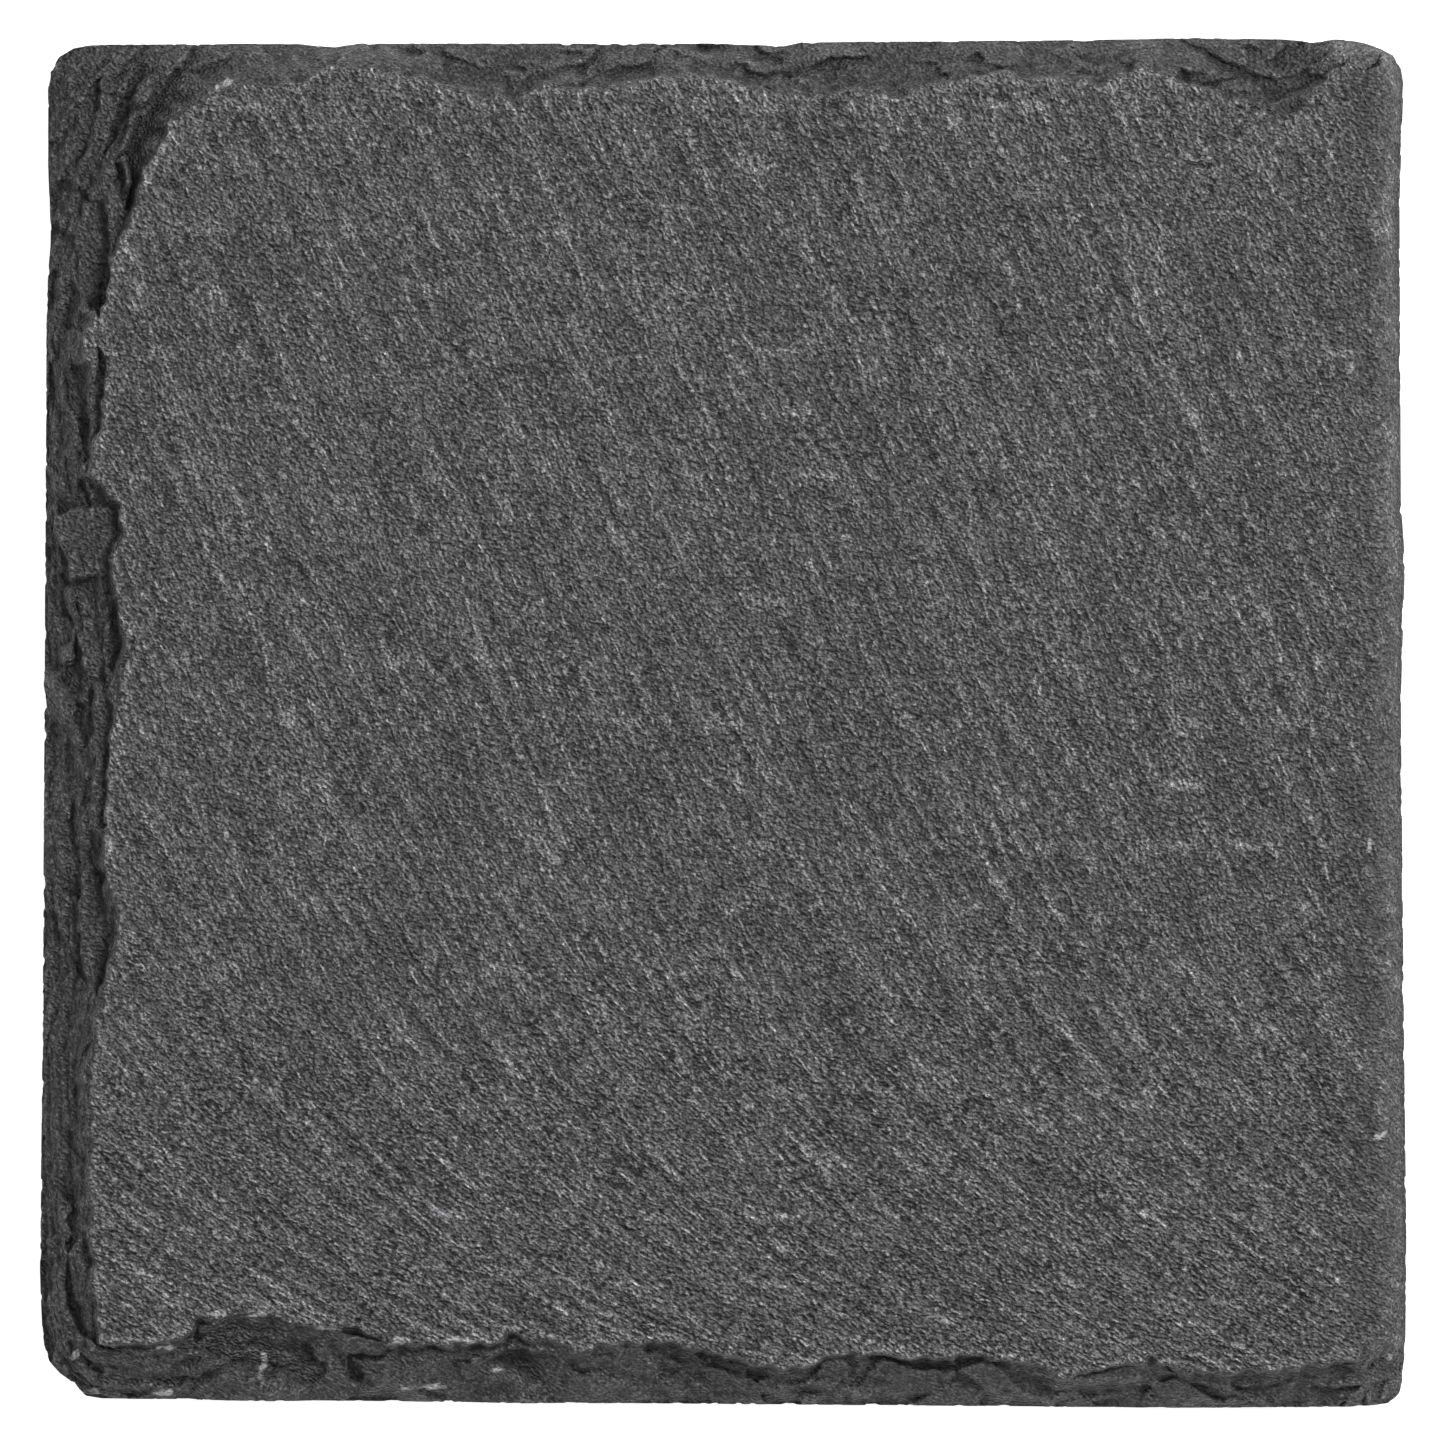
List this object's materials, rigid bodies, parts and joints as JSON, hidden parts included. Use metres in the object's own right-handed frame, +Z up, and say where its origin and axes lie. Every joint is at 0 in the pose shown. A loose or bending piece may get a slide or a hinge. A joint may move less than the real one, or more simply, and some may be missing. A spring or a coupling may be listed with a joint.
{
  "type": "slate slab",
  "caption": "Square slab of split slate with hammered edges and a flat natural face, standing on rubber feet as a hard, level work base.",
  "frame": {"origin": "on the table under the middle of the slab, level with the bottom of the feet", "axes": "+Z up out of the slab's face, +X towards the worn edge, +Y towards the back edge"},
  "size_m": [0.1, 0.1003, 0.0084],
  "materials": {
    "slate": "matte natural cleft",
    "foot_rubber": "satin",
    "foam_tape": "matte foam"
  },
  "bodies": {
    "root": {"slate_slab": "slate", "foot_front_left": "foot_rubber", "foot_front_right": "foot_rubber", "foot_back_left": "foot_rubber", "foot_back_right": "foot_rubber", "tape_front_left": "foam_tape", "tape_front_right": "foam_tape", "tape_back_left": "foam_tape", "tape_back_right": "foam_tape"}
  },
  "joints": []
}
